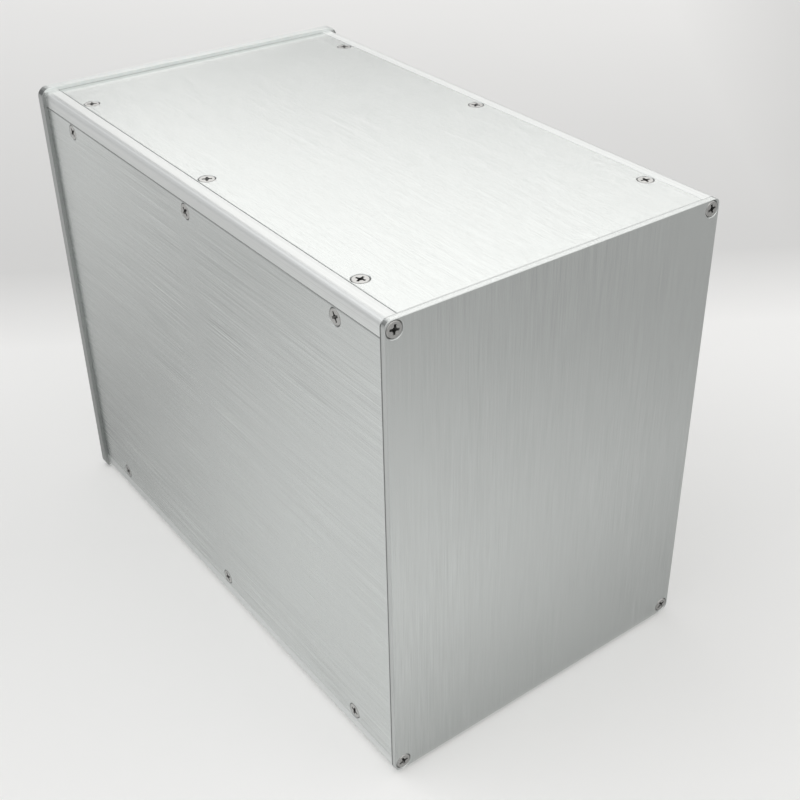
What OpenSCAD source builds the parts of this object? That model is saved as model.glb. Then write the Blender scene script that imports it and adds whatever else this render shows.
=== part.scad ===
// Aluminium electronics chassis.
// Four extruded corner rails carry two covers, two side panels, a rear panel and a thicker front panel.
// Every panel is held by countersunk screws with cross recesses. Sizes are in millimetres.
// X runs across the width, Y from the front panel to the rear panel, Z up.

/* [Case] */
// Outside width across the two side panels
case_w = 120; // [90:1:180]
// Outside height across the top and bottom covers
case_h = 160; // [100:1:240]
// Length of the corner rails, between the front and rear panels
case_d = 200; // [120:1:320]

/* [Panels] */
// Thickness of the top and bottom covers
cover_t = 2; // [1.5:0.1:2.5]
// Thickness of the two side panels
side_t = 2; // [1.5:0.1:2.5]
// Thickness of the rear panel
rear_t = 2; // [1.5:0.1:4]
// Thickness of the front panel
front_t = 4; // [3:0.5:8]
// How far the front panel stands past the body on every side
front_lip = 1.25; // [0.5:0.05:3]
// Chamfer round the front edge of the front panel
front_chamfer = 0.5; // [0.2:0.1:1]
// Broken edges of the covers, side panels, rear panel and rail strips
edge_break = 0.15; // [0.05:0.05:0.2]
// Gap between a cover or side panel and what it lies beside
seam = 0.15; // [0.05:0.05:0.3]

/* [Corner rails] */
// Width of the strip of rail that shows on each of its outer faces
rail_face = 5.15; // [4.5:0.05:7]
// Radius of the rail's outer edge
rail_r = 2.2; // [1:0.1:3]
// Thickness of the ledges that the covers and side panels are screwed to
ledge_t = 3.2; // [2.6:0.1:3.8]
// Metal between a tapped hole and the free edge of its ledge
ledge_wall = 1.65; // [1:0.05:3]
// Leg of the gusset in the corner between the two ledges
gusset = 1; // [0.5:0.1:1.6]

/* [Screws] */
// Thread diameter
screw_d = 3; // [2.5:0.1:3.2]
// Diameter of the countersunk head
head_d = 5; // [4.6:0.1:5.4]
// Chamfer round the top of the head
head_edge = 0.22; // [0.05:0.01:0.3]
// Depth of the head's top below the panel's face
head_sink = 0.03; // [0:0.01:0.2]
// Metal between a countersink and the edge of its panel
csk_land = 0.25; // [0.2:0.05:1]
// Play of a screw in the hole of its panel
hole_play = 0.1; // [0.05:0.05:0.2]
// Play between a screw and its seat or its tapped hole
seat_play = 0.05; // [0.02:0.01:0.08]
// Number of screws along one edge of a cover or side panel
screws_per_row = 3; // [2:1:6]
// Distance from the end of the rails to the first screw of a row
row_end = 20; // [12:1:40]
// How far a cover screw comes out below its ledge
tip_out = 0.8; // [0.2:0.1:1.2]
// Thread of a front or rear screw inside the rail
end_bite = 6; // [4:0.5:10]
// Chamfer at the tip of a screw
screw_tip = 0.4; // [0.2:0.1:0.6]
// Length of the cross recess across the head
cross_len = 3; // [2.4:0.1:3.4]
// Width of a wing of the cross recess
cross_w = 0.7; // [0.5:0.05:0.9]
// Depth of the cross recess
cross_depth = 1.3; // [0.8:0.1:1.6]
// Diameter of the round core where the wings meet
cross_core = 1.5; // [1:0.1:1.8]

/* [Hidden] */
$fn = 64;

// How far a cutting shape runs past the face that it cuts
overcut = 0.5;
// Share of the cross recess that is left at its floor
cross_floor = 0.35;

sheet_colour = "#d3d6d6";
front_colour = "#d9dbdb";
rail_colour = "#dfe1e1";
screw_colour = "#b9bcbd";

// Whole depth, and the places of the front panel's face and the rail ends along Y
full_d = front_t + case_d + rear_t;
rail_y = front_t - full_d / 2;
// Height of the middle of the body, with the lower edge of the front panel at zero
mid_z = front_lip + case_h / 2;

// Holes and countersinks that go with the screws
hole_d = screw_d + 2 * hole_play;
tapped_d = screw_d + 2 * seat_play;
head_cone = (head_d - screw_d) / 2;
// Countersink at the panel's face, wide enough for the head to lie in it at its depth
csk_d = head_d + 2 * (head_edge + head_sink + seat_play);
csk_depth = (csk_d - hole_d) / 2;

// Distance from the edge of a panel to the axis of its screws
screw_edge = csk_d / 2 + csk_land;
// Distance from the outer faces of a rail to the screws of the cover beside it
row_inset = rail_face + seam + screw_edge;
// Reach of a ledge, from the rail's outer face to the ledge's free edge
ledge_reach = row_inset + tapped_d / 2 + ledge_wall;
row_pitch = (case_d - 2 * row_end) / (screws_per_row - 1);
cover_screw_len = cover_t + ledge_t + tip_out;
side_screw_len = side_t + ledge_t + tip_out;

function row_y(i) = row_end + i * row_pitch;

// Places its children with the origin on the body's axis, at the front ends of the rails
module in_body() {
    translate([0, rail_y, mid_z]) children();
}

// Mirrors the lower left corner, with its origin on the outer edge, to any corner of the body
module at_corner(right, top) {
    mirror([right, 0, 0]) mirror([0, 0, top]) translate([-case_w / 2, 0, -case_h / 2]) children();
}

// Stands a panel that is drawn lying flat, its outer face up, on a side of the body
module on_top() {
    translate([0, case_d / 2, case_h / 2]) children();
}
module on_right() {
    translate([case_w / 2, case_d / 2, 0]) rotate([0, 90, 0]) children();
}
module on_rear() {
    translate([0, case_d + rear_t, 0]) rotate([-90, 0, 0]) children();
}
module on_front() {
    translate([0, -front_t, 0]) rotate([90, 0, 0]) children();
}

// Bar along Y with its outer face at zero and its two long upper edges bevelled
module bevelled_bar(w, l, t, bevel) {
    translate([0, l / 2, 0]) rotate([90, 0, 0]) linear_extrude(l)
        polygon([
            [-w / 2, -t], [w / 2, -t], [w / 2, -bevel],
            [w / 2 - bevel, 0], [bevel - w / 2, 0], [-w / 2, -bevel]
        ]);
}

// Square-cornered sheet, bevelled along all four upper edges
module sheet(w, l, t, bevel) {
    intersection() {
        bevelled_bar(w, l, t, bevel);
        rotate(90) bevelled_bar(l, w, t, bevel);
    }
}

// Sheet with turned corners: two crossing bars and a bevelled disc in each corner
module rounded_sheet(w, l, t, r, bevel) {
    bevelled_bar(w, l - 2 * r, t, bevel);
    rotate(90) bevelled_bar(l, w - 2 * r, t, bevel);
    for (x = [-1, 1], y = [-1, 1])
        translate([x * (w / 2 - r), y * (l / 2 - r), -t]) {
            cylinder(r = r, h = t - bevel);
            translate([0, 0, t - bevel]) cylinder(r1 = r, r2 = r - bevel, h = bevel);
        }
}

// Clearance hole and countersink, cut down from a face at zero
module screw_hole(t) {
    translate([0, 0, -t - overcut]) cylinder(d = hole_d, h = t + 2 * overcut);
    translate([0, 0, -csk_depth])
        cylinder(d1 = hole_d, d2 = csk_d + 2 * overcut, h = csk_depth + overcut);
}

// Cover or side panel: a sheet between two rails, with a row of screw holes along each long edge
module row_panel(across, t) {
    w = across - 2 * (rail_face + seam);
    difference() {
        sheet(w, case_d - 2 * seam, t, edge_break);
        for (x = [-1, 1], i = [0 : screws_per_row - 1])
            translate([x * (w / 2 - screw_edge), row_y(i) - case_d / 2, 0]) screw_hole(t);
    }
}

// Places its children at the four screw channels of the rails, which are numbered in $channel
module at_channels() {
    for (i = [0 : 3]) {
        $channel = i;
        x = i < 2 ? -1 : 1;
        z = i % 2 == 0 ? -1 : 1;
        translate([x * (case_w / 2 - screw_edge), z * (case_h / 2 - screw_edge), 0]) children();
    }
}

// Section of the lower left rail: rounded corner block, a ledge under each panel, screw channel
module rail_section() {
    difference() {
        union() {
            translate([rail_r, rail_r]) circle(r = rail_r);
            polygon([
                [rail_r, rail_r], [rail_r, 0], [rail_face - edge_break, 0], [rail_face, edge_break],
                [rail_face, rail_face], [edge_break, rail_face], [0, rail_face - edge_break], [0, rail_r]
            ]);
            translate([side_t, cover_t]) square([ledge_reach - side_t, ledge_t]);
            translate([side_t, cover_t]) square([ledge_t, ledge_reach - cover_t]);
            translate([side_t + ledge_t, cover_t + ledge_t]) polygon([[0, 0], [gusset, 0], [0, gusset]]);
        }
        translate([screw_edge, screw_edge]) circle(d = tapped_d);
    }
}

// Rail in the lower left corner, its two ledges tapped for the screws of the panels
module corner_rail() {
    color(rail_colour) difference() {
        translate([0, case_d, 0]) rotate([90, 0, 0]) linear_extrude(case_d) rail_section();
        for (i = [0 : screws_per_row - 1]) {
            translate([row_inset, row_y(i), cover_t - overcut])
                cylinder(d = tapped_d, h = ledge_t + 2 * overcut);
            translate([side_t - overcut, row_y(i), row_inset]) rotate([0, 90, 0])
                cylinder(d = tapped_d, h = ledge_t + 2 * overcut);
        }
    }
}

// One wing of the cross recess, narrower at its floor
module recess_wing() {
    translate([0, cross_w / 2, 0]) rotate([90, 0, 0]) linear_extrude(cross_w)
        polygon([
            [-cross_len / 2, overcut], [cross_len / 2, overcut], [cross_len / 2, 0],
            [cross_floor * cross_len / 2, -cross_depth], [-cross_floor * cross_len / 2, -cross_depth],
            [-cross_len / 2, 0]
        ]);
}

// Countersunk screw below a face at zero: one turned profile, less the cross recess
module screw(length) {
    r = screw_d / 2;
    seat_z = -head_sink - head_edge;
    color(screw_colour) difference() {
        rotate_extrude() polygon([
            [0, -length], [r - screw_tip, -length], [r, screw_tip - length], [r, seat_z - head_cone],
            [head_d / 2, seat_z], [head_d / 2 - head_edge, -head_sink], [0, -head_sink]
        ]);
        translate([0, 0, -head_sink]) {
            recess_wing();
            rotate(90) recess_wing();
            translate([0, 0, -cross_depth])
                cylinder(d1 = cross_floor * cross_core, d2 = cross_core, h = cross_depth);
        }
    }
}

// Row of screws along Y, starting at the front ends of the rails, each at its own turn
module screw_row(length, turns) {
    for (i = [0 : screws_per_row - 1])
        translate([0, row_y(i), 0]) rotate(turns[i % len(turns)]) screw(length);
}

// Rows of the top cover and of the right side panel, on their right and upper edges
module top_row(turns) {
    translate([case_w / 2 - row_inset, 0, case_h / 2]) screw_row(cover_screw_len, turns);
}
module right_row(turns) {
    translate([case_w / 2, 0, case_h / 2 - row_inset]) rotate([0, 90, 0])
        screw_row(side_screw_len, turns);
}

// Screws through the corners of the front or rear panel into the rail ends
module end_screws(length, turns) {
    at_channels() rotate(turns[$channel]) screw(length);
}

module front_panel() {
    w = case_w + 2 * front_lip;
    h = case_h + 2 * front_lip;
    color(front_colour) in_body() on_front() difference() {
        rounded_sheet(w, h, front_t, rail_r + front_lip, front_chamfer);
        at_channels() screw_hole(front_t);
    }
}

module rear_panel() {
    color(sheet_colour) in_body() on_rear() difference() {
        rounded_sheet(case_w, case_h, rear_t, rail_r, edge_break);
        at_channels() screw_hole(rear_t);
    }
}

module top_cover() {
    color(sheet_colour) in_body() on_top() row_panel(case_w, cover_t);
}

module bottom_cover() {
    color(sheet_colour) in_body() mirror([0, 0, 1]) on_top() row_panel(case_w, cover_t);
}

module right_side_panel() {
    color(sheet_colour) in_body() on_right() row_panel(case_h, side_t);
}

module left_side_panel() {
    color(sheet_colour) in_body() mirror([1, 0, 0]) on_right() row_panel(case_h, side_t);
}

module top_left_rail() {
    in_body() at_corner(0, 1) corner_rail();
}

module top_right_rail() {
    in_body() at_corner(1, 1) corner_rail();
}

module bottom_left_rail() {
    in_body() at_corner(0, 0) corner_rail();
}

module bottom_right_rail() {
    in_body() at_corner(1, 0) corner_rail();
}

module top_right_screws() {
    in_body() top_row([63, 61, 22]);
}

module top_left_screws() {
    in_body() mirror([1, 0, 0]) top_row([30, 50, 15]);
}

module bottom_right_screws() {
    in_body() mirror([0, 0, 1]) top_row([40, 77, 24]);
}

module bottom_left_screws() {
    in_body() mirror([0, 0, 1]) mirror([1, 0, 0]) top_row([55, 2, 39]);
}

module right_upper_screws() {
    in_body() right_row([40, 42, 30]);
}

module right_lower_screws() {
    in_body() mirror([0, 0, 1]) right_row([55, 59, 14]);
}

module left_upper_screws() {
    in_body() mirror([1, 0, 0]) right_row([45, 82, 29]);
}

module left_lower_screws() {
    in_body() mirror([1, 0, 0]) mirror([0, 0, 1]) right_row([60, 7, 44]);
}

module rear_screws() {
    in_body() on_rear() end_screws(rear_t + end_bite, [15, 30, 81, 12]);
}

module front_screws() {
    in_body() on_front() end_screws(front_t + end_bite, [20, 65, 8, 50]);
}

front_panel();
rear_panel();
top_cover();
bottom_cover();
left_side_panel();
right_side_panel();
top_left_rail();
top_right_rail();
bottom_left_rail();
bottom_right_rail();
top_left_screws();
top_right_screws();
bottom_left_screws();
bottom_right_screws();
left_upper_screws();
left_lower_screws();
right_upper_screws();
right_lower_screws();
rear_screws();
front_screws();
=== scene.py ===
# %% [markdown]
# # A brushed aluminium electronics chassis
#
# The chassis is a box of six panels screwed to four extruded corner rails. Its solids come ready made and
# stand at their real size and place, so this script only dresses them. It gives every metal its finish,
# draws the small forms that the eye looks for, and sets up a studio with the camera where the photographer
# stood. The box of the bare solids is kept here.

# %% Load the solids
import math
from collections import namedtuple

import bmesh
import bpy
import numpy as np
from mathutils import Matrix, Vector
from mathutils.geometry import tessellate_polygon


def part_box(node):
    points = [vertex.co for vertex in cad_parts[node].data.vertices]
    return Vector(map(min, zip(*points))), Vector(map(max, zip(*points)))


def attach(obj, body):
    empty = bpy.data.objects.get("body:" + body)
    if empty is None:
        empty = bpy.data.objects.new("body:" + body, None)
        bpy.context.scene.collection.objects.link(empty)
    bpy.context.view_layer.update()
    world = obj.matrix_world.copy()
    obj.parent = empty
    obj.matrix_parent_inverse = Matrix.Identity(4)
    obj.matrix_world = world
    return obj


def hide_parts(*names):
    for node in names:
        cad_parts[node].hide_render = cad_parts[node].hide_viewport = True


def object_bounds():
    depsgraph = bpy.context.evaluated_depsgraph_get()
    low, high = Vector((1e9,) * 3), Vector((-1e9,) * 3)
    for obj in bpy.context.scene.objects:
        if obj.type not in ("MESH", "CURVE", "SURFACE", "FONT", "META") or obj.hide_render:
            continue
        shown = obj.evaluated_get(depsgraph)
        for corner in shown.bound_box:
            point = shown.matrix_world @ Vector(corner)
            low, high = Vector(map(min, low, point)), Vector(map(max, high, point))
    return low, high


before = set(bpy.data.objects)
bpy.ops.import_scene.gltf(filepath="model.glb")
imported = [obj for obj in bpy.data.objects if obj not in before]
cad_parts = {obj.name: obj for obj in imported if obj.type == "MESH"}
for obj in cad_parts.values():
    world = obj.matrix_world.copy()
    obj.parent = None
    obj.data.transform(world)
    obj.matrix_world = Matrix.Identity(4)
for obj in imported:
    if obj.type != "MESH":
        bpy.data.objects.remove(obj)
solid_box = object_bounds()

MM = 0.001
X, Y, Z = 0, 1, 2
scene = bpy.context.scene
low, high = (Vector(corner) for corner in solid_box)
print("solids:", len(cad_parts), "size in mm:", [round(side / MM, 2) for side in high - low])

# %% [markdown]
# ## Camera
#
# The photographer stood behind the chassis on its right, higher than its top, and close enough for the
# edges to draw together. A camera is easiest to reason about as a point on a sphere: a direction round the
# object, a height angle, and a distance to what it looks at. The picture was cropped, so its centre isn't
# where the lens pointed. That is what a lens shift stands for, and the small roll is the hand that held the
# camera.

# %% Place the camera
view_turn = math.radians(141.58)
view_height = math.radians(32.35)
view_roll = math.radians(0.39)
view_distance = 440.0 * MM
aim_right = 32.8 * MM
aim_down = 8.2 * MM
lens_mm = 55.88
picture_shift = (-0.0625, -0.031)
nearest_seen = 10 * MM


def direction(turn, height):
    """A unit step from the chassis: round it by `turn` from its front, and up by the angle `height`."""
    return Vector((math.sin(turn) * math.cos(height),
                   -math.cos(turn) * math.cos(height),
                   math.sin(height)))


backward = direction(view_turn, view_height)
level = Vector((math.cos(view_turn), math.sin(view_turn), 0))
rightward = Matrix.Rotation(view_roll, 3, backward) @ level
upward = backward.cross(rightward)
middle = Vector((0, 0, (low.z + high.z) / 2))
aim = middle + aim_right * rightward - aim_down * upward

lens = bpy.data.cameras.new("photo_view")
lens.lens = lens_mm
lens.shift_x, lens.shift_y = picture_shift
lens.clip_start = nearest_seen
camera = bpy.data.objects.new("photo_view", lens)
scene.collection.objects.link(camera)
camera.location = aim + view_distance * backward
camera.rotation_euler = Matrix((rightward, upward, backward)).transposed().to_euler()
scene.camera = camera
print("camera at", [round(c, 3) for c in camera.location])

# %% [markdown]
# ## From arrays to a piece
#
# A shape that numpy works out is only a stack of points until faces join them. Points that lie on a grid
# need one rule for all faces: each square joins a point, its neighbour in the row, and the two below. Where
# a grid closes on itself, as round a screw, the last column joins the first. Merging points that fall
# together then closes the poles, and turning all faces outwards makes the piece a proper closed solid, also
# after a mirror image.

# %% Faces of a grid, and a finished piece
merge_distance = 0.0005 * MM
sharp_angle = math.radians(32)


def grid_faces(rows, columns):
    """Squares of a grid whose columns close to a ring: a point, the next in its ring, and the two in the
    next row."""
    row, column = np.mgrid[0:rows - 1, 0:columns]
    beside = (column + 1) % columns
    corners = (row, column), (row, beside), (row + 1, beside), (row + 1, column)
    return np.stack([r * columns + c for r, c in corners], axis=-1).reshape(-1, 4)


def joined(parts):
    """All points of several (points, faces) pairs, and their faces renumbered past the earlier points."""
    starts = np.cumsum([0] + [len(points) for points, faces in parts])
    faces = [(part[1] + start).tolist() for part, start in zip(parts, starts)]
    return np.concatenate([part[0] for part in parts]), sum(faces, [])


def make_piece(name, points, faces, node, marks=None):
    """A smooth closed piece that stands for a solid of the frame. `marks` holds a number for each point."""
    mesh = bpy.data.meshes.new(name)
    mesh.from_pydata(points, [], faces)
    for mark, values in (marks or {}).items():
        mesh.attributes.new(mark, "FLOAT", "POINT").data.foreach_set("value", values)
    shell = bmesh.new()
    shell.from_mesh(mesh)
    bmesh.ops.remove_doubles(shell, verts=shell.verts, dist=merge_distance)
    bmesh.ops.recalc_face_normals(shell, faces=shell.faces)
    shell.to_mesh(mesh)
    shell.free()
    mesh.shade_smooth()
    mesh.set_sharp_from_angle(angle=sharp_angle)
    piece = bpy.data.objects.new(name, mesh)
    scene.collection.objects.link(piece)
    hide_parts(node)
    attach(piece, "root")
    return piece


print("a grid of 3 rings with 8 points each has", len(grid_faces(3, 8)), "faces")

# %% [markdown]
# ## Section of the corner rails
#
# Each long edge of the chassis is an extruded rail. Its outer corner is rounded, a strip of it shows beside
# each cover, and two ledges reach under the covers to take their screws. An extrusion is one outline
# carried along a straight path, so the outline is all that has to be drawn. The solid has the same one with
# a coarse corner, and a bright metal corner shows every facet, so here the arc gets more points. Widths
# that the boxes of the solids show are measured on the frame.

# %% Outline of a rail
cover_low, cover_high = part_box("top_cover")
rail_low, rail_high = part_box("top_right_rail")
seam = cover_low.y - rail_low.y
strip = rail_high.x - cover_high.x - seam
reach = rail_high.x - rail_low.x
panel_thick = cover_high.z - cover_low.z
ledge_thick = 3.2 * MM
ledge_depth = panel_thick + ledge_thick
gusset = 1.0 * MM
corner_radius = 2.2 * MM
broken_edge = 0.15 * MM


def rail_half():
    """The straight half of the outline: along one strip, round its ledge and back to the gusset."""
    return np.array([
        (strip - broken_edge, 0), (strip, broken_edge), (strip, panel_thick),
        (reach, panel_thick), (reach, ledge_depth), (ledge_depth + gusset, ledge_depth)])


def rail_outline(steps=24):
    """A quarter turn round the corner, one straight half, and the same half with its two distances swapped.
    Distances run inward from the rail's two outer faces."""
    turn = np.linspace(math.pi, 1.5 * math.pi, steps + 1)
    arc = corner_radius * (1 + np.stack([np.cos(turn), np.sin(turn)], axis=1))
    half = rail_half()
    return np.concatenate([arc, half, half[::-1, ::-1]])


outline = rail_outline()
print("rail outline:", len(outline), "points")
print("strip and reach in mm:", round(strip / MM, 2), round(reach / MM, 2))

# %% [markdown]
# ## Rails along their path
#
# Carrying the outline from one end of the chassis to the other gives the walls of a rail. Triangles close
# its two ends and leave the round screw channel open, and they close the ledges and leave the tapped holes
# open. One ledge is the other with its two distances swapped. The finished rail is mirrored into the four
# corners.

# %% Sweep the outline and drill the ledges
tapped_radius = 1.55 * MM
channel_inset = 3.05 * MM
screws_in_row = 3
screw_low, screw_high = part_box("top_right_screws")
row_inset = rail_high.x - (screw_low.x + screw_high.x) / 2
head_radius = (screw_high.x - screw_low.x) / 2
row_places = np.linspace(screw_low.y + head_radius, screw_high.y - head_radius, screws_in_row)
# The walls that get holes, counted from the first point of the outline's straight halves
drilled_walls = np.array([2, 4, 6, 8])


def circle(radius, steps=32):
    """Points of a circle: cosine and sine of even turns, times the radius."""
    turn = np.linspace(0, 2 * math.pi, steps, endpoint=False)
    return radius * np.stack([np.cos(turn), np.sin(turn)], axis=1)


def flat_face(loops):
    """Triangles that fill the first loop of points and leave the other loops open."""
    triangles = tessellate_polygon([list(map(Vector, loop)) for loop in loops])
    return np.concatenate(loops), np.array(triangles)


def carried(loop, axis, places):
    """A flat loop repeated at each place along the axis that it lacks, and the squares between them."""
    points = np.concatenate([np.insert(loop, axis, place, axis=1) for place in places])
    return points, grid_faces(len(places), len(loop))


def drilled_ledge(ends):
    """Both faces of a lying ledge, with a round hole at each screw, and the walls of the holes."""
    holes = [circle(tapped_radius) + (row_inset, place) for place in row_places]
    parts = [carried(hole, Z, (panel_thick, ledge_depth)) for hole in holes]
    for height, near in ((panel_thick, strip), (ledge_depth, ledge_depth + gusset)):
        border = np.array([(near, ends[0]), (reach, ends[0]), (reach, ends[1]), (near, ends[1])])
        parts.append(flat_face([np.insert(loop, Z, height, axis=1) for loop in (border, *holes)]))
    return parts


def rail_parts(ends):
    """Walls without the drilled faces, the channel, the two ends, and a lying and an upright ledge."""
    channel = circle(tapped_radius) + channel_inset
    walls, wall_faces = carried(outline, Y, ends)
    first_straight = len(outline) - 2 * len(rail_half())
    open_faces = np.delete(wall_faces, first_straight + drilled_walls, axis=0)
    lying = drilled_ledge(ends)
    upright = [(points[:, ::-1], faces) for points, faces in lying]
    caps = [flat_face([np.insert(loop, Y, end, axis=1) for loop in (outline, channel)]) for end in ends]
    return [(walls, open_faces), carried(channel, Y, ends), *caps, *lying, *upright]


rail_points, rail_faces = joined(rail_parts((rail_low.y, rail_high.y)))
bottom_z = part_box("bottom_left_rail")[0].z
rails = []
for height, outer_z, inward_z in (("top", rail_high.z, -1), ("bottom", bottom_z, 1)):
    for side, outer_x, inward_x in (("right", rail_high.x, -1), ("left", -rail_high.x, 1)):
        placed = rail_points * (inward_x, 1, inward_z) + (outer_x, 0, outer_z)
        node = f"{height}_{side}_rail"
        rails.append(make_piece(node + "_extrusion", placed, rail_faces, node))
print("rails:", [len(rail.data.polygons) for rail in rails], "faces")

# %% [markdown]
# ## Surface of a screw
#
# The panels are held by small countersunk screws with cross recesses. A screw is turned on a lathe, so it
# is a stack of rings round one axis, and a ring's points have one distance from the axis. The cross recess
# fits the same stack if the distance changes round the ring: it is the nearer of a wing's end and a wing's
# flank, and never less than the round core where the wings meet. Points stand at the corners of the cross
# and midway between them, so that its edges stay crisp with few of them.

# %% Rings round the axis
shank_radius = 1.5 * MM
head_bevel = 0.22 * MM
tip_bevel = 0.4 * MM
wing_length = 1.5 * MM
wing_width = 0.35 * MM
core_radius = 0.75 * MM
recess_depth = 1.3 * MM
recess_lip = 0.05 * MM
floor_share = 0.35
least_angle = 0.001


def ring_turns():
    """Angles round the axis: an eighth of a turn with stops at the corners of the cross and midway between
    them, the same mirrored to make a quarter, and the quarter four times."""
    wing_corner = math.atan2(wing_width, wing_length)
    core_corner = math.asin(wing_width / core_radius)
    floor_corner = math.atan2(wing_width, floor_share * wing_length)
    stops = np.array([0, wing_corner, core_corner, floor_corner, math.pi / 4])
    eighth = np.stack([stops[:-1], (stops[:-1] + stops[1:]) / 2], axis=1).ravel()
    quarter = np.concatenate([eighth, stops[-1:], math.pi / 2 - eighth[:0:-1]])
    return np.concatenate([quarter + corner * math.pi / 2 for corner in range(4)])


def cross_reach(turns, length, core):
    """Distance from the axis to the edge of the cross: the nearer of end and flank, at least the core."""
    from_wing = np.abs((turns + math.pi / 4) % (math.pi / 2) - math.pi / 4)
    end = length / np.cos(from_wing)
    flank = wing_width / np.sin(np.maximum(from_wing, least_angle))
    return np.maximum(np.minimum(end, flank), core)


def screw_rings(length):
    """Distances from the axis and depths below the head's top, ring by ring, from the recess floor to the
    tip."""
    turns = ring_turns()
    mouth = cross_reach(turns, wing_length, core_radius)
    floor = cross_reach(turns, floor_share * wing_length, floor_share * core_radius)
    cone_end = head_bevel + head_radius - shank_radius
    rings = [(0, recess_depth), (floor, recess_depth), (mouth, recess_lip), (mouth + recess_lip, 0),
             (head_radius - head_bevel, 0), (head_radius, head_bevel), (shank_radius, cone_end),
             (shank_radius, length - tip_bevel), (shank_radius - tip_bevel, length), (0, length)]
    radii = np.stack([np.broadcast_to(radius, turns.shape) for radius, depth in rings])
    depths = np.array([depth for radius, depth in rings])
    return turns, radii, depths


print("points round a screw:", len(ring_turns()))

# %% [markdown]
# ## Rows of screws
#
# Nobody lines up the recesses when they drive screws, so every one stands at its own angle. The boxes of
# the solids say where the screws are and how long they are. All screws of a row are worked out in one
# array, which has an axis for the screws, one for the rings and one for the points of a ring. Each point
# also keeps a mark for painted shade: the recess is painted dark, and so is the head from the foot of its
# bevel down.

# %% Set the screws
recess_rings = 3
bevel_foot_ring = 5
# Painted shade on the head from the foot of its bevel down, as a share of the recess's
bevel_foot_shade = 0.6


def set_screws(node, outward, centres, turns_seen):
    """Each point is its screw's centre, plus distance times the turned direction, less depth times the
    outward axis. The turns are in degrees."""
    outward = np.array(outward)
    centres = np.array(centres)
    lowest, highest = (np.array(corner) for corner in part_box(node))
    length = np.abs(outward) @ (highest - lowest)
    turns, radii, depths = screw_rings(length)
    flat_axis = np.array((0, 1, 0)) if outward[X] else np.array((1, 0, 0))
    cross_axis = np.cross(outward, flat_axis)
    angle = (turns + np.radians(turns_seen)[:, None])[:, None, :, None]
    spoke = np.cos(angle) * flat_axis + np.sin(angle) * cross_axis
    points = (centres[:, None, None, :] + radii[None, :, :, None] * spoke
              - depths[None, :, None, None] * outward)
    ring_count, point_count = radii.shape
    firsts = np.arange(len(centres)) * ring_count * point_count
    faces = (grid_faces(ring_count, point_count) + firsts[:, None, None]).reshape(-1, 4)
    # The mark is painted shade: whole in the recess, a share from the bevel's foot down
    in_recess = np.zeros(points.shape[:3])
    in_recess[:, :recess_rings] = 1
    in_recess[:, bevel_foot_ring:] = bevel_foot_shade
    return make_piece(node + "_turned", points.reshape(-1, 3), faces.tolist(), node,
                      {"in_recess": in_recess.ravel()})


def row_centres(node, outward):
    """The places of a row along Y, in the middle of the row's box, at the height of the heads."""
    lowest, highest = (np.array(corner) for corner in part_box(node))
    way = np.array(outward)
    centre = np.where(way > 0, highest, np.where(way < 0, lowest, (lowest + highest) / 2))
    centres = np.tile(centre, (screws_in_row, 1))
    centres[:, Y] = row_places
    return centres


def corner_centres(node, outward):
    """Four places in the corners of the box: left upper, left lower, right upper, right lower."""
    lowest, highest = (np.array(corner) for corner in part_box(node))
    face = highest[Y] if outward[Y] > 0 else lowest[Y]
    near, far = lowest + head_radius, highest - head_radius
    return [(x, face, z) for x in (near[X], far[X]) for z in (far[Z], near[Z])]


up, down, right, left, rear, front = (0, 0, 1), (0, 0, -1), (1, 0, 0), (-1, 0, 0), (0, 1, 0), (0, -1, 0)
rows = {
    "top_right_screws": (up, (63, 61, 22)), "top_left_screws": (up, (-30, -50, -15)),
    "bottom_right_screws": (down, (-40, -77, -24)), "bottom_left_screws": (down, (55, 2, 39)),
    "right_upper_screws": (right, (40, 42, 30)), "right_lower_screws": (right, (-55, -59, -14)),
    "left_upper_screws": (left, (-45, -82, -29)), "left_lower_screws": (left, (60, 7, 44))}
corners = {"rear_screws": (rear, (15, 30, 81, 12)), "front_screws": (front, (65, 20, 50, 8))}
screws = [set_screws(node, way, row_centres(node, way), seen) for node, (way, seen) in rows.items()]
screws += [set_screws(node, way, corner_centres(node, way), seen) for node, (way, seen) in corners.items()]
print("screw pieces:", len(screws), "faces in all:", sum(len(piece.data.polygons) for piece in screws))

# %% [markdown]
# ## Shader maths
#
# Node trees grow unreadable when every sum is wired by hand. A small class can hold a socket and answer to
# Python's own operators, so that a streak pattern is written as a formula and each operation adds its Math
# node by itself.

# %% A socket that takes part in expressions
class Wire:
    """An output socket in a node tree. Sums and products with it add Math nodes to the tree."""

    def __init__(self, tree, socket=None):
        self.tree = tree
        self.socket = socket

    def node(self, kind, settings=None, sockets=None, output=0):
        """Adds any node: its settings first, then each socket's value or link. Gives one output back."""
        made = self.tree.nodes.new(kind)
        for name, value in (settings or {}).items():
            setattr(made, name, value)
        for name, value in (sockets or {}).items():
            if isinstance(value, Wire):
                self.tree.links.new(value.socket, made.inputs[name])
            else:
                made.inputs[name].default_value = value
        return Wire(self.tree, made.outputs[output])

    def math(self, operation, first, second):
        """Adds a Math node with two inputs, each a wire or a number."""
        return self.node("ShaderNodeMath", {"operation": operation}, {0: first, 1: second})

    def __add__(self, other):
        return self.math("ADD", self, other)

    def __radd__(self, other):
        return self.math("ADD", other, self)

    def __sub__(self, other):
        return self.math("SUBTRACT", self, other)

    def __rsub__(self, other):
        return self.math("SUBTRACT", other, self)

    def __mul__(self, other):
        return self.math("MULTIPLY", self, other)

    def __abs__(self):
        return self.math("ABSOLUTE", self, 0)


def new_material(name):
    """Makes a material whose surface is a Principled shader. Gives both back, and a starting wire."""
    material = bpy.data.materials.new(name)
    material.use_nodes = True
    tree = material.node_tree
    tree.nodes.clear()
    output = tree.nodes.new("ShaderNodeOutputMaterial")
    shader = tree.nodes.new("ShaderNodeBsdfPrincipled")
    tree.links.new(shader.outputs[0], output.inputs["Surface"])
    return material, shader, Wire(tree)


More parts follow.
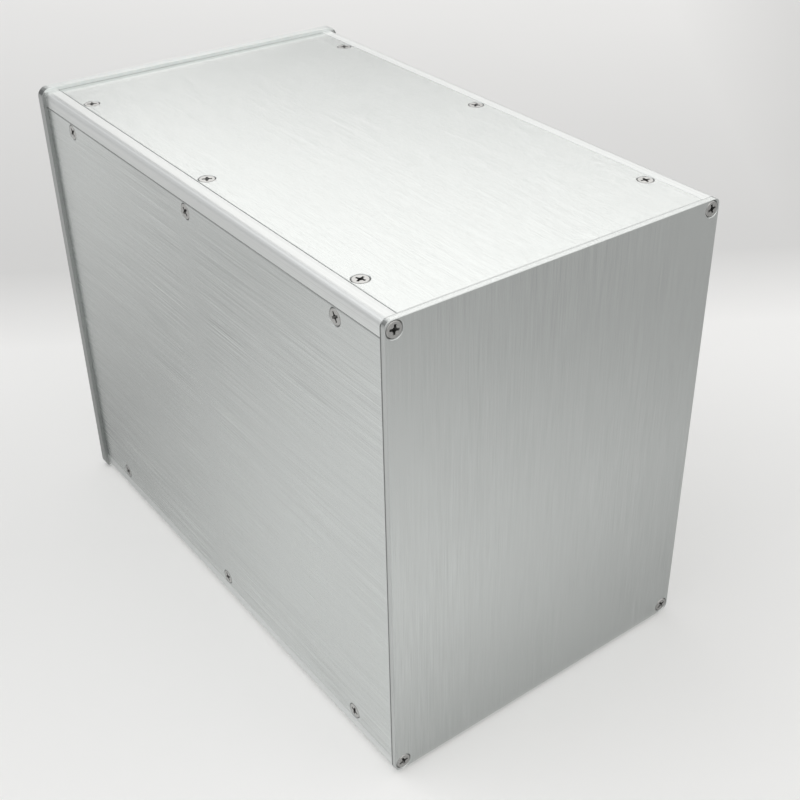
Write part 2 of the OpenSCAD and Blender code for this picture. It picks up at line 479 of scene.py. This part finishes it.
def feed(shader, **sources):
    """Links wires to the shader's sockets and sets plain values on them. Base_Color means Base Color."""
    for name, value in sources.items():
        socket = shader.inputs[name.replace("_", " ")]
        if isinstance(value, Wire):
            value.tree.links.new(value.socket, socket)
        else:
            socket.default_value = value


def tinted(wire, tone, shade):
    """The tone times a shade that changes over the surface."""
    return wire.node("ShaderNodeMix", {"data_type": "RGBA", "blend_type": "MULTIPLY"},
                     {"Factor": 1.0, "A": (*tone, 1), "B": shade}, output="Result")


print("shader maths ready")

# %% [markdown]
# ## Streaks and masks
#
# The covers and panels were drawn under an abrasive belt before they were anodised. The belt leaves
# thousands of parallel scratches, each a few centimetres long and about as thin as a hair. A picture of
# them would need an image, but noise that is squeezed hard across the grain and stretched along it gives
# the same streaks at any size. Masks say where a panel looks different, and a point's coordinates alone can
# tell. Shade is painted into the countersinks round the screws: a point lies in one if it is below the
# panel's outer face and not on the panel's edge. A rim is a strip along two opposite edges, such as a seam
# or a cut edge, where painted shade or painted light changes the tone and the surface is rougher.

# %% Streaks and masks as formulas
Rim = namedtuple("Rim", "axis width start tone")
noise_mean = 0.5
sunk_below_face = (0.02 * MM, 0.25 * MM)
sunk_above_back = (0.1 * MM, 0.3 * MM)
sunk_inside_edge = (0.15 * MM, 0.35 * MM)
rim_blur = 0.1 * MM


def streaks(wire, place, grain_axis, across, along):
    """Noise of a stretched place about zero: `across` cells per metre over the grain, `along` with it."""
    scale = [across] * 3
    scale[grain_axis] = along
    stretched = wire.node("ShaderNodeMapping", None, {"Vector": place, "Scale": scale})
    return wire.node("ShaderNodeTexNoise", {"noise_dimensions": "3D"},
                     {"Vector": stretched, "Scale": 1.0, "Detail": 2.0, "Roughness": 0.6}) - noise_mean


def ramp(wire, value, start, stop):
    """Zero up to start, one from stop, and a straight line between them."""
    return wire.node("ShaderNodeMapRange", None, {"Value": value, "From Min": start, "From Max": stop})


def panel_masks(wire, place, panel, rims):
    """A mask in the countersinks, which lie below the face and inside the edges, and one for each rim: a
    strip along the two edges that an axis crosses, so wide, and from such a depth below the face."""
    lowest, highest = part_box(panel)
    centre = (lowest + highest) / 2
    half = (highest - lowest) / 2
    thin = min((X, Y, Z), key=lambda axis: half[axis])
    outward = math.copysign(1, centre[thin] - middle[thin])
    spots = [wire.node("ShaderNodeSeparateXYZ", None, {0: place}, output=axis) - centre[axis]
             for axis in (X, Y, Z)]
    from_edge = [half[axis] - abs(spots[axis]) for axis in (X, Y, Z)]
    below_face = half[thin] - spots[thin] * outward
    above_back = half[thin] + spots[thin] * outward
    sunk = ramp(wire, below_face, *sunk_below_face) * ramp(wire, above_back, *sunk_above_back)
    for axis in {X, Y, Z} - {thin}:
        sunk = sunk * ramp(wire, from_edge[axis], *sunk_inside_edge)
    strips = [ramp(wire, from_edge[rim.axis], rim.width + rim_blur, rim.width - rim_blur)
              * ramp(wire, below_face, rim.start, rim.start + 2 * rim_blur) for rim in rims]
    return sunk, strips


print("streaks and masks ready")

# %% [markdown]
# ## Brushed sheet
#
# Three layers of streaks make the finish. Fine scratches tilt the surface, which spreads every reflection
# across the grain as real brushing does. Thin streaks and broader ones tint it, more in some patches than
# in others, because a belt doesn't press evenly, and the thin ones also change how sharply it shines. The
# front plate is thick and its edges were cut, so they are duller than its face, and painted shade makes
# them darker at the sides while painted light makes them lighter at the top and bottom. Painted shade also
# draws a dark line along the long seams of the side panels and on the rear panel's edges, darkest towards
# their back.

# %% Brushed sheet finish
sheet_tone = (0.572, 0.592, 0.585)
sheet_roughness = 0.25
scratch_depth = 0.03 * MM
scratch_cells = (7000, 90)
thin_cells = 9000
broad_cells = 2800
broad_stretch = 0.7
broad_share = 0.5
patch_cells = (22, 9)
patch_strength = 3.5
thin_roughness = 0.2
# Painted shade in the countersinks round the screws
groove_painted_shade = -0.6
groove_roughness = 0.15
rim_roughness = 0.1


def brushed(panel, grain_axis, contrast, along, rims):
    """Aluminium brushed along one axis. Its shade is one, plus two streak noises that come and go in
    patches, and the countersinks and rims each multiply it by one plus their mask times their tone, which
    is painted shade or painted light."""
    material, shader, wire = new_material(panel + "_brushed")
    place = wire.node("ShaderNodeTexCoord", output="Object")
    scratch = streaks(wire, place, grain_axis, *scratch_cells)
    thin = streaks(wire, place, grain_axis, thin_cells, along)
    broad = streaks(wire, place, grain_axis, broad_cells, along * broad_stretch)
    patch = streaks(wire, place, grain_axis, *patch_cells) * patch_strength + 1
    groove, strips = panel_masks(wire, place, panel, rims)
    bump = wire.node("ShaderNodeBump", None,
                     {"Height": scratch, "Distance": scratch_depth, "Strength": 1.0})
    # The countersink and rim tones are painted shade, and painted light at the plate's top and bottom edges
    shade = (1 + (thin + broad * broad_share) * patch * contrast) * (1 + groove * groove_painted_shade)
    roughness = sheet_roughness + thin * contrast * thin_roughness + groove * groove_roughness
    for rim_mask, rim in zip(strips, rims):
        shade = shade * (1 + rim_mask * rim.tone)
        roughness = roughness + rim_mask * rim_roughness
    feed(shader, Base_Color=tinted(wire, sheet_tone, shade), Metallic=1.0,
         Roughness=roughness, Normal=bump)
    return material


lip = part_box("front_panel")[1].x - rail_high.x
seam_width = 0.25 * MM
whole_edge = -1 * MM
past_bevel = 0.2 * MM
plate_back = 3.7 * MM
rear_side_back = 1.4 * MM
rear_top_back = 1.5 * MM
# Painted shade on the plate's side edges, painted light on its top and bottom edges and their back
plate_edges = [Rim(X, lip, past_bevel, -0.35), Rim(Z, lip, past_bevel, 0.15), Rim(Z, lip, plate_back, 0.3)]
# Painted shade on the rear panel's edges, darkest towards their back
rear_edges = [Rim(X, seam_width, whole_edge, -0.15), Rim(X, seam_width, rear_side_back, -0.65),
              Rim(Z, seam_width, rear_top_back, -0.2)]
# Painted shade: a dark line along the long seams of the side panels
long_seams = [Rim(Z, seam_width, whole_edge, -0.4)]
rear_finish = dict(grain_axis=Z, contrast=0.38, along=60, rims=rear_edges)
front_finish = dict(grain_axis=X, contrast=0.38, along=60, rims=plate_edges)
cover_finish = dict(grain_axis=Y, contrast=0.17, along=60, rims=[])
side_finish = dict(grain_axis=Y, contrast=0.95, along=25, rims=long_seams)
finish_of = {"rear_panel": rear_finish, "front_panel": front_finish,
             "top_cover": cover_finish, "bottom_cover": cover_finish,
             "left_side_panel": side_finish, "right_side_panel": side_finish}
for panel, finish in finish_of.items():
    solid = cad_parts[panel]
    solid.data.materials.clear()
    solid.data.materials.append(brushed(panel, **finish))
print("brushed panels:", len(finish_of))

# %% [markdown]
# ## Extruded metal
#
# A rail comes out of its die with faint lines that run the whole length, and anodising leaves it satin.
# The lines are the same stretched noise with nearly no change along the rail, and shallower than a belt's
# scratches. A second noise with short cells is the satin grain.

# %% Extruded rail finish
rail_tone = (0.695, 0.71, 0.705)
rail_roughness = 0.42
die_line_cells = (3000, 4)
die_line_contrast = 0.3
die_line_depth = 0.02 * MM
satin_cells = (9000, 2500)
satin_share = 0.5
satin_roughness = 0.1

rail_metal, rail_shader, rail_wire = new_material("rail_metal")
rail_place = rail_wire.node("ShaderNodeTexCoord", output="Object")
die_lines = streaks(rail_wire, rail_place, Y, *die_line_cells)
satin = streaks(rail_wire, rail_place, Y, *satin_cells)
rail_height = die_lines + satin * satin_share
rail_bump = rail_wire.node("ShaderNodeBump", None, {"Height": rail_height, "Distance": die_line_depth})
rail_shade = 1 + die_lines * die_line_contrast
feed(rail_shader, Base_Color=tinted(rail_wire, rail_tone, rail_shade), Metallic=1.0,
     Roughness=rail_roughness + satin * satin_roughness, Normal=rail_bump)
for rail in rails:
    rail.data.materials.append(rail_metal)
print("rails finished:", len(rails))

# %% [markdown]
# ## Plated screws
#
# The screws are plated steel, a little darker than the sheet and not brushed, with a thin haze from
# handling. The mark that each point carries paints shade into the recess and onto the foot of the head.

# %% Screw finish
screw_tone = (0.44, 0.44, 0.43)
screw_roughness = 0.25
haze_cells = 1500.0
haze_contrast = 0.2
haze_roughness = 0.15
haze_depth = 0.01 * MM
# Painted shade where the mark is
recess_shade_tone = -0.7
marked_roughness = 0.2

screw_metal, screw_shader, screw_wire = new_material("screw_metal")
screw_place = screw_wire.node("ShaderNodeTexCoord", output="Object")
haze = screw_wire.node("ShaderNodeTexNoise", None,
                       {"Vector": screw_place, "Scale": haze_cells, "Detail": 2.0}) - noise_mean
painted_shade_mark = screw_wire.node("ShaderNodeAttribute", {"attribute_name": "in_recess"}, output="Fac")
screw_bump = screw_wire.node("ShaderNodeBump", None, {"Height": haze, "Distance": haze_depth})
screw_shade = (1 + haze * haze_contrast) * (1 + painted_shade_mark * recess_shade_tone)
feed(screw_shader, Base_Color=tinted(screw_wire, screw_tone, screw_shade), Metallic=1.0,
     Roughness=screw_roughness + haze * haze_roughness + painted_shade_mark * marked_roughness, Normal=screw_bump)
for piece in screws:
    piece.data.materials.append(screw_metal)
print("screws finished:", len(screws))

# %% [markdown]
# ## Floor
#
# The chassis stands on white paper that fills the picture. In a studio such paper bends up behind the
# object, and light falls on the bend less evenly than on the floor. Here the paper is flat, and broad ramps
# of painted shade in its tone stand for the bend, make the paper lighter towards the camera and darker far
# to the right. Bare metal shows whatever stands around it. Two cards lie on the paper, one before the rear
# panel and one before the right side. Only reflections see them, and the painted shade of their ramps
# becomes painted reflections: soft gradients in those two panels, darker near each panel's foot.

# %% White paper and two cards
Shade = namedtuple("Shade", "way start stop depth")
bend_slant = 0.09
ahead = Vector((-backward.x, -backward.y, 0)).normalized()
across = level.copy()
to_bend = (ahead - bend_slant * across).normalized()
from_rear = Vector((0.15, 0.99, 0))
from_side = Vector((1, 0.2, 0))
paper_white = (0.93, 0.93, 0.925)
paper_reach = 4
card_white = (1.0, 1.0, 0.995)
card_height = 0.5 * MM
card_reach = 0.9
rear_card_start = 0.104
rear_card_right = 0.3
side_card_start = 0.062
side_card_back = 0.2
mottle_cells = 6.0
mottle_contrast = 0.02


def stage_sheet(name, near, far, height, tone, shades):
    """A flat rectangle between two corners, mottled a little as paper is. Each shade takes its depth off
    the tone, little by little from where it starts, along its way, to where it stops."""
    mesh = bpy.data.meshes.new(name)
    (x0, y0), (x1, y1) = near, far
    points = [(x0, y0, height), (x1, y0, height), (x1, y1, height), (x0, y1, height)]
    mesh.from_pydata(points, [], [(0, 1, 2, 3)])
    material, shader, wire = new_material(name)
    place = wire.node("ShaderNodeTexCoord", output="Object")
    mottle = wire.node("ShaderNodeTexNoise", None,
                       {"Vector": place, "Scale": mottle_cells, "Detail": 3.0}) - noise_mean
    tone_left = 1 + mottle * mottle_contrast
    for shade in shades:
        step = wire.node("ShaderNodeVectorMath", {"operation": "DOT_PRODUCT"},
                         {0: place, 1: shade.way}, output="Value")
        tone_left = tone_left - ramp(wire, step, shade.start, shade.stop) * shade.depth
    feed(shader, Base_Color=tinted(wire, tone, tone_left), Roughness=1.0, Specular_IOR_Level=0.0)
    mesh.materials.append(material)
    sheet = bpy.data.objects.new(name, mesh)
    scene.collection.objects.link(sheet)
    return sheet


# Painted shade on the paper: the bend, lighter paper towards the camera, darker far to the right
painted_paper_shades = [Shade(to_bend, -0.13, 0.0, 0.09), Shade(to_bend, 0.05, 0.12, -0.03),
               Shade(to_bend, 0.15, 0.23, 0.23), Shade(to_bend, 0.26, 0.75, -0.15),
               Shade(across, 0.225, 0.33, 0.11)]
# Painted shade on the two cards, which the rear and right panels show as painted reflections
rear_shades = [Shade(across, 0.10, 0.32, 0.42), Shade(from_rear, 0.155, 0.10, 0.3)]
side_shades = [Shade(ahead, -0.06, 0.05, 0.31), Shade(ahead, 0.05, 0.2, -0.18),
               Shade(from_side, 0.1, 0.05, 0.12)]
white_board = stage_sheet("white_board", (-paper_reach, -paper_reach), (paper_reach, paper_reach),
                          0, paper_white, painted_paper_shades)
cards = [stage_sheet("rear_card", (-card_reach, rear_card_start), (rear_card_right, card_reach),
                     card_height, card_white, rear_shades),
         stage_sheet("side_card", (side_card_start, -card_reach), (card_reach, side_card_back),
                     card_height, card_white, side_shades)]
for card in cards:
    card.visible_camera = False
    card.visible_diffuse = False
    card.visible_shadow = False
print("stage:", white_board.name, [card.name for card in cards])

# %% [markdown]
# ## Light
#
# Soft light comes from five large lit rectangles and evenly from all round. The key light stands high at
# the front right and throws a shadow on the paper. The back light stands behind the chassis as the photo
# sees it, mirrors in the top cover and makes it almost white. The left light stands for a white wall that
# brightens the paper before the rear panel. The low right light gives the rounded rails something bright to
# mirror. The white wall behind the camera lights no paper and is seen in the metal only, so that the top
# cover isn't dark from the front. A light's place is given as the camera's was: a direction, a height angle
# and a distance.

# %% Five softboxes and the room
wall_distance = 1.5
plain_white = (1.0, 1.0, 1.0)
warm_white = (1.0, 0.985, 0.965)
room_strength = 0.455


def softbox(name, turn, height, width, tall, power, casts_shadow, tint):
    """A lit rectangle that faces the middle of the chassis from a direction and a height in degrees."""
    way = direction(math.radians(turn), math.radians(height))
    lamp = bpy.data.lights.new(name, "AREA")
    lamp.shape = "RECTANGLE"
    lamp.size = width
    lamp.size_y = tall
    lamp.energy = power
    lamp.color = tint
    lamp.use_shadow = casts_shadow
    holder = bpy.data.objects.new(name, lamp)
    scene.collection.objects.link(holder)
    holder.location = middle + wall_distance * way
    holder.rotation_euler = way.to_track_quat("Z", "Y").to_euler()
    return holder


softbox("key_light", turn=50, height=62, width=1.6, tall=1.6, power=7.5,
        casts_shadow=True, tint=plain_white)
softbox("back_light", turn=313, height=37, width=1.7, tall=0.8, power=5.65,
        casts_shadow=False, tint=warm_white)
softbox("left_light", turn=218, height=35, width=2.6, tall=1.55, power=11.0,
        casts_shadow=False, tint=warm_white)
softbox("right_light", turn=36, height=17, width=1.6, tall=0.9, power=1.2,
        casts_shadow=True, tint=plain_white)
white_wall = softbox("white_wall", turn=140, height=33, width=2.4, tall=1.5, power=7.0,
                     casts_shadow=True, tint=warm_white)
white_wall.visible_diffuse = False

room = bpy.data.worlds.new("room")
room.use_nodes = True
room_light = room.node_tree.nodes["Background"]
room_light.inputs["Color"].default_value = (1, 1, 1, 1)
room_light.inputs["Strength"].default_value = room_strength
scene.world = room
scene.view_settings.view_transform = "Standard"
print("softboxes:", len(bpy.data.lights))
